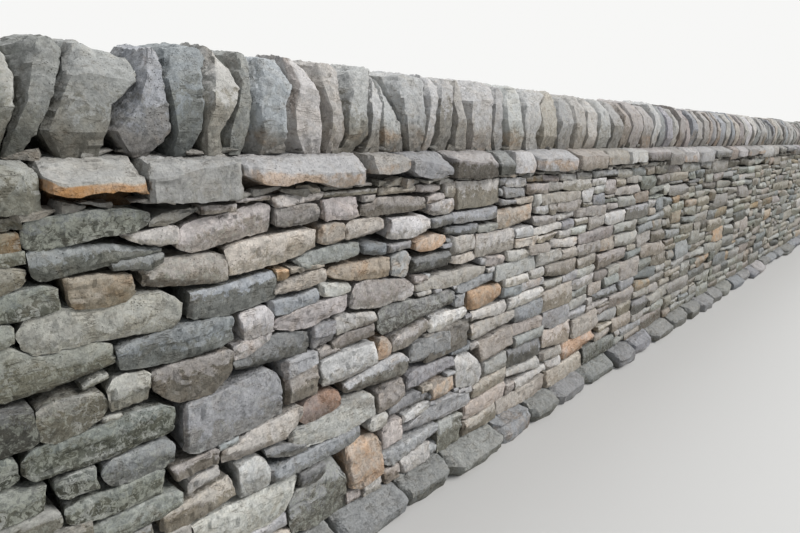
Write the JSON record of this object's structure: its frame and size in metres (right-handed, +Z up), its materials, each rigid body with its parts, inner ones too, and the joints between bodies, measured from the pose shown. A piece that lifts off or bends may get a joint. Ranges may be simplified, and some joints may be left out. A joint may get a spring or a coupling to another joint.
{
  "type": "dry stone wall",
  "caption": "Straight length of dry stone wall with battered faces, a projecting footing, a band of flat cover stones and a row of upright cope stones.",
  "frame": {"origin": "middle of the base, on the ground, half way along the wall and half way through it", "axes": "+X along the wall, -Y out of the front face, +Z up"},
  "size_m": [9.115, 0.9, 1.446],
  "materials": {
    "face_stone": "rough",
    "cope_stone": "rough",
    "cover_stone": "rough",
    "footing_stone": "rough",
    "hearting_stone": "rough"
  },
  "bodies": {
    "root": {"footing_1": "footing_stone", "footing_2": "footing_stone", "footing_3": "footing_stone", "footing_4": "footing_stone", "footing_5": "footing_stone", "footing_6": "footing_stone", "front_face_1": "face_stone", "front_face_2": "face_stone", "front_face_3": "face_stone", "front_face_4": "face_stone", "front_face_5": "face_stone", "front_face_6": "face_stone", "back_face_1": "face_stone", "back_face_2": "face_stone", "back_face_3": "face_stone", "back_face_4": "face_stone", "back_face_5": "face_stone", "back_face_6": "face_stone", "hearting_1": "hearting_stone", "hearting_2": "hearting_stone", "hearting_3": "hearting_stone", "hearting_4": "hearting_stone", "hearting_5": "hearting_stone", "hearting_6": "hearting_stone", "cover_stones_1": "cover_stone", "cover_stones_2": "cover_stone", "cover_stones_3": "cover_stone", "cover_stones_4": "cover_stone", "cover_stones_5": "cover_stone", "cover_stones_6": "cover_stone", "cope_stones_1": "cope_stone", "cope_stones_2": "cope_stone", "cope_stones_3": "cope_stone", "cope_stones_4": "cope_stone", "cope_stones_5": "cope_stone", "cope_stones_6": "cope_stone", "through_stones": "face_stone", "left_wall_end": "face_stone", "right_wall_end": "face_stone"}
  },
  "joints": []
}
